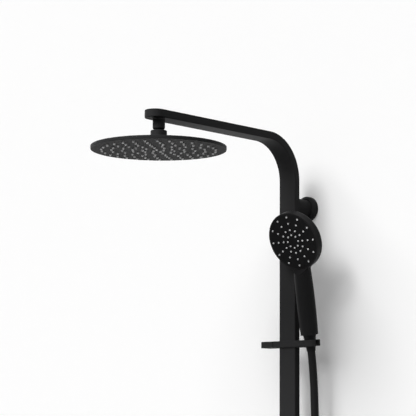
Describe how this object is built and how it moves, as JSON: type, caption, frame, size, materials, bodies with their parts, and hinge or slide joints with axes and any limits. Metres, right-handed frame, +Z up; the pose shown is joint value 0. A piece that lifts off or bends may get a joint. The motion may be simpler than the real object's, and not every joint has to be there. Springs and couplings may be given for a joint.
{
  "type": "shower column",
  "caption": "Wall-held shower column: a flat bent rail with an overhead shower on a ball joint, a sliding holder with a hand shower, a diverter with a knob and a hanging hose.",
  "frame": {"origin": "centre of the threaded water inlet, on the wall's surface", "axes": "+Z up along the rail, +Y into the wall along the inlet, +X to the bather's right"},
  "size_m": [0.3111, 0.5605, 1.5137],
  "materials": {
    "black_metal": "matt black powder coat",
    "black_plastic": "satin black",
    "black_face": "matt black",
    "pale_silicone": "matt pale grey",
    "black_hose": "satin black",
    "black_rubber": "matt",
    "white_plastic": "matt white",
    "brass": "turned",
    "steel": "plain steel"
  },
  "bodies": {
    "column": {"rail_tube": "black_metal", "rail_insert": "brass", "rail_screw": "steel", "upper_stem": "black_metal", "bracket_grub_screw": "steel", "wall_plate": "steel", "upper_flange": "black_metal", "inlet_stem": "black_metal", "inlet_filter": "white_plastic", "lower_flange": "black_metal", "diverter_body": "black_metal", "rail_gasket": "black_rubber", "diverter_cartridge": "white_plastic", "cartridge_nut": "brass", "hose_outlet": "black_metal", "hose_nut": "black_metal", "hose_nut_washer": "black_rubber", "lower_ferrule": "black_metal", "hose_lower": "black_hose", "arm_outlet": "brass", "outlet_gasket": "black_rubber", "ball_stud": "black_metal"},
    "head_liner": {"ball_seat": "white_plastic"},
    "overhead_shower": {"ball_nut": "black_metal", "head_shell": "black_metal", "head_filter": "white_plastic", "spray_plate": "black_face", "spray_nozzles": "pale_silicone"},
    "slider": {"slider_body": "black_plastic", "slider_liner": "white_plastic", "lever_pin": "steel", "lever_spring": "steel"},
    "lever": {"release_lever": "black_plastic", "brake_pad": "black_rubber"},
    "hose_end": {"upper_ferrule": "brass", "hose_upper": "black_hose"},
    "hand_shower": {"cone_nut": "black_plastic", "handset_washer": "black_rubber", "handset_inlet": "white_plastic", "handset_body": "black_plastic", "handset_face": "black_face", "handset_nozzles": "pale_silicone"},
    "diverter": {"diverter_knob": "black_metal", "diverter_spindle": "brass", "knob_grub_screw": "steel"}
  },
  "joints": [
    {"name": "slider_slide", "type": "slide", "parent": "column", "child": "slider", "axis": [0, 0, 1], "range_m": [-0.6, 0.09], "deforming": ["hose_lower"]},
    {"name": "lever_press", "type": "hinge", "parent": "slider", "child": "lever", "pos_m": [-0.027, -0.0565, 0.7282], "axis": [0, -1, 0], "range_deg": [0, 6], "stiffness_Nm_per_rad": 0.5, "springref_deg": -8.59},
    {"name": "hand_shower_lift", "type": "slide", "parent": "slider", "child": "hose_end", "axis": [0, -0.1719, 0.9851], "range_m": [0, 0.04], "deforming": ["hose_upper"]},
    {"name": "hand_shower_turn", "type": "hinge", "parent": "hose_end", "child": "hand_shower", "pos_m": [0.0487, -0.0544, 0.7282], "axis": [0, -0.1719, 0.9851], "range_deg": [0, 110]},
    {"name": "overhead_turn", "type": "hinge", "parent": "column", "child": "head_liner", "pos_m": [0, -0.4355, 1.09], "axis": [0, 0, 1], "continuous": true},
    {"name": "overhead_tilt", "type": "hinge", "parent": "head_liner", "child": "overhead_shower", "pos_m": [0, -0.4355, 1.09], "axis": [1, 0, 0], "range_deg": [-12, 12]},
    {"name": "diverter_turn", "type": "hinge", "parent": "column", "child": "diverter", "pos_m": [0, -0.09, 0], "axis": [0, 1, 0], "range_deg": [0, 90]}
  ]
}
